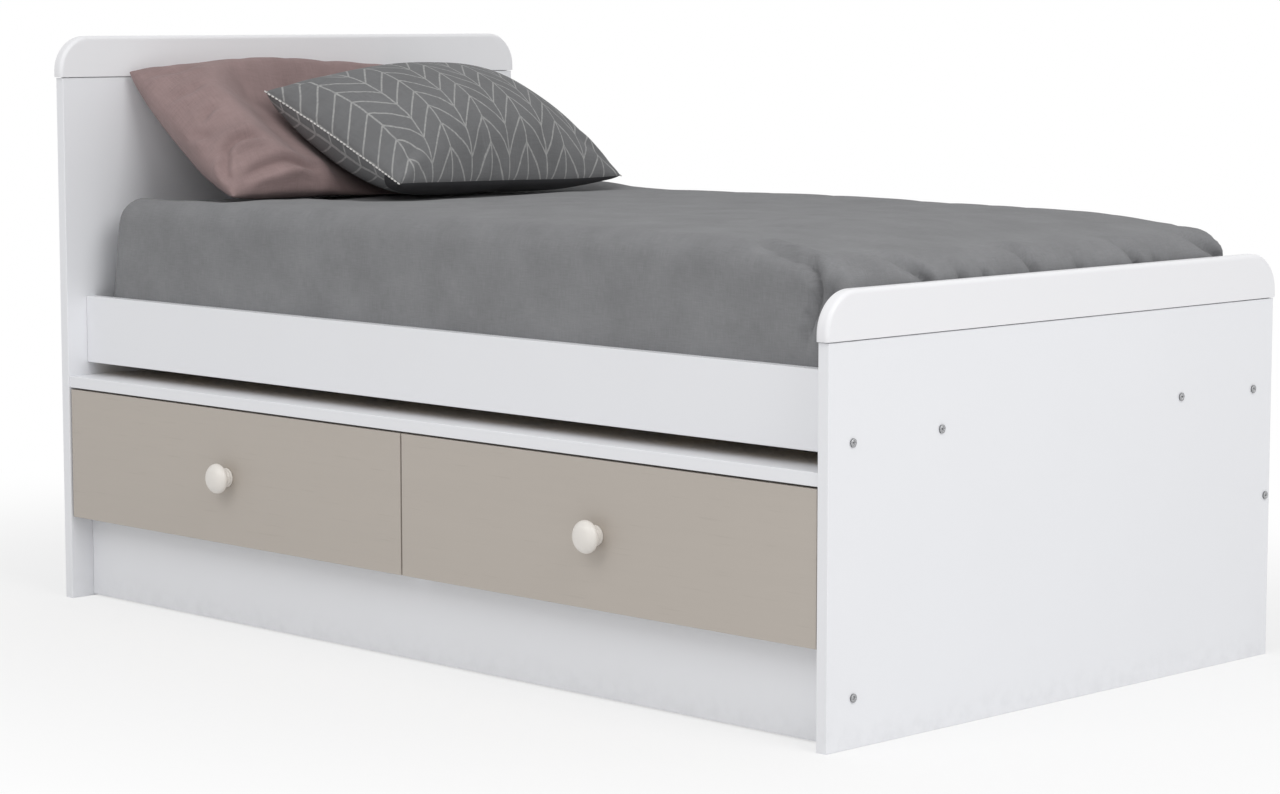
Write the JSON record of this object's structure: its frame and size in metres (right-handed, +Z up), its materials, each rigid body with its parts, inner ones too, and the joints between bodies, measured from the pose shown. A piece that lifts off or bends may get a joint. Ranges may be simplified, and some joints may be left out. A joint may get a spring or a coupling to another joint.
{
  "type": "toddler bed with drawers",
  "caption": "Low panel bed for a toddler with rails, slatted base, mattress, bedspread and pillows, over a plinth unit with side-by-side drawers on roller runners.",
  "frame": {"origin": "on the floor, at the middle of the bed's overall length and depth, the knobs and screw heads included", "axes": "+X from the headboard to the footboard, +Y from the drawer side to the back, +Z up"},
  "size_m": [1.3702, 0.8292, 0.746],
  "materials": {
    "white_board": "satin",
    "taupe_board": "satin",
    "pine": "matte",
    "hardboard": "satin",
    "knob_plastic": "satin",
    "coated_steel": "satin",
    "nylon": "matte",
    "screw_steel": "satin",
    "ticking": "matte",
    "spread_cloth": "matte",
    "rose_cloth": "matte",
    "grey_cloth": "matte"
  },
  "bodies": {
    "frame": {"headboard_panel": "white_board", "headboard_cap": "white_board", "footboard_panel": "white_board", "footboard_cap": "white_board", "front_rail": "white_board", "back_rail": "white_board", "unit_top": "white_board", "plinth": "white_board", "back_panel": "white_board", "divider": "white_board", "front_ledge": "pine", "back_ledge": "pine", "head_cleat": "pine", "foot_cleat": "pine", "slat_1": "pine", "slat_2": "pine", "slat_3": "pine", "slat_4": "pine", "slat_5": "pine", "slat_6": "pine", "slat_7": "pine", "slat_8": "pine", "foot_screw_front_rail": "screw_steel", "foot_screw_back_rail": "screw_steel", "foot_screw_cleat_front": "screw_steel", "foot_screw_cleat_back": "screw_steel", "foot_screw_plinth": "screw_steel", "foot_screw_back_panel": "screw_steel", "mattress": "ticking", "bedspread": "spread_cloth", "pillow_rose": "rose_cloth", "pillow_grey": "grey_cloth", "left_drawer_left_channel": "coated_steel", "left_drawer_right_channel": "coated_steel", "right_drawer_left_channel": "coated_steel", "right_drawer_right_channel": "coated_steel"},
    "left_drawer_left_channel_roller": {"left_drawer_left_channel_roller": "nylon"},
    "left_drawer_left_track_roller": {"left_drawer_left_track_roller": "nylon"},
    "left_drawer_right_channel_roller": {"left_drawer_right_channel_roller": "nylon"},
    "left_drawer_right_track_roller": {"left_drawer_right_track_roller": "nylon"},
    "left_drawer": {"left_drawer_front": "taupe_board", "left_drawer_knob": "knob_plastic", "left_drawer_left_side": "white_board", "left_drawer_right_side": "white_board", "left_drawer_back": "white_board", "left_drawer_bottom": "hardboard", "left_drawer_left_track": "coated_steel", "left_drawer_right_track": "coated_steel"},
    "right_drawer_left_channel_roller": {"right_drawer_left_channel_roller": "nylon"},
    "right_drawer_left_track_roller": {"right_drawer_left_track_roller": "nylon"},
    "right_drawer_right_channel_roller": {"right_drawer_right_channel_roller": "nylon"},
    "right_drawer_right_track_roller": {"right_drawer_right_track_roller": "nylon"},
    "right_drawer": {"right_drawer_front": "taupe_board", "right_drawer_knob": "knob_plastic", "right_drawer_left_side": "white_board", "right_drawer_right_side": "white_board", "right_drawer_back": "white_board", "right_drawer_bottom": "hardboard", "right_drawer_left_track": "coated_steel", "right_drawer_right_track": "coated_steel"}
  },
  "joints": [
    {"name": "left_drawer_slide", "type": "slide", "parent": "frame", "child": "left_drawer", "axis": [0, -1, 0], "range_m": [0, 0.365]},
    {"name": "left_drawer_left_channel_roller_spin", "type": "hinge", "parent": "frame", "child": "left_drawer_left_channel_roller", "pos_m": [-0.6621, -0.35435, 0.1323], "axis": [1, 0, 0], "continuous": true},
    {"name": "left_drawer_left_track_roller_spin", "type": "hinge", "parent": "left_drawer", "child": "left_drawer_left_track_roller", "pos_m": [-0.6621, 0.11565, 0.1323], "axis": [1, 0, 0], "continuous": true},
    {"name": "left_drawer_right_channel_roller_spin", "type": "hinge", "parent": "frame", "child": "left_drawer_right_channel_roller", "pos_m": [-0.0146, -0.35435, 0.1323], "axis": [1, 0, 0], "continuous": true},
    {"name": "left_drawer_right_track_roller_spin", "type": "hinge", "parent": "left_drawer", "child": "left_drawer_right_track_roller", "pos_m": [-0.0146, 0.11565, 0.1323], "axis": [1, 0, 0], "continuous": true},
    {"name": "right_drawer_slide", "type": "slide", "parent": "frame", "child": "right_drawer", "axis": [0, -1, 0], "range_m": [0, 0.365]},
    {"name": "right_drawer_left_channel_roller_spin", "type": "hinge", "parent": "frame", "child": "right_drawer_left_channel_roller", "pos_m": [0.0134, -0.35435, 0.1323], "axis": [1, 0, 0], "continuous": true},
    {"name": "right_drawer_left_track_roller_spin", "type": "hinge", "parent": "right_drawer", "child": "right_drawer_left_track_roller", "pos_m": [0.0134, 0.11565, 0.1323], "axis": [1, 0, 0], "continuous": true},
    {"name": "right_drawer_right_channel_roller_spin", "type": "hinge", "parent": "frame", "child": "right_drawer_right_channel_roller", "pos_m": [0.6609, -0.35435, 0.1323], "axis": [1, 0, 0], "continuous": true},
    {"name": "right_drawer_right_track_roller_spin", "type": "hinge", "parent": "right_drawer", "child": "right_drawer_right_track_roller", "pos_m": [0.6609, 0.11565, 0.1323], "axis": [1, 0, 0], "continuous": true}
  ],
  "couplings": [
    {"joint": "left_drawer_left_channel_roller_spin", "follows": "left_drawer_slide", "rad_per_m": 100},
    {"joint": "left_drawer_left_track_roller_spin", "follows": "left_drawer_slide", "rad_per_m": 100},
    {"joint": "left_drawer_right_channel_roller_spin", "follows": "left_drawer_slide", "rad_per_m": 100},
    {"joint": "left_drawer_right_track_roller_spin", "follows": "left_drawer_slide", "rad_per_m": 100},
    {"joint": "right_drawer_left_channel_roller_spin", "follows": "right_drawer_slide", "rad_per_m": 100},
    {"joint": "right_drawer_left_track_roller_spin", "follows": "right_drawer_slide", "rad_per_m": 100},
    {"joint": "right_drawer_right_channel_roller_spin", "follows": "right_drawer_slide", "rad_per_m": 100},
    {"joint": "right_drawer_right_track_roller_spin", "follows": "right_drawer_slide", "rad_per_m": 100}
  ]
}
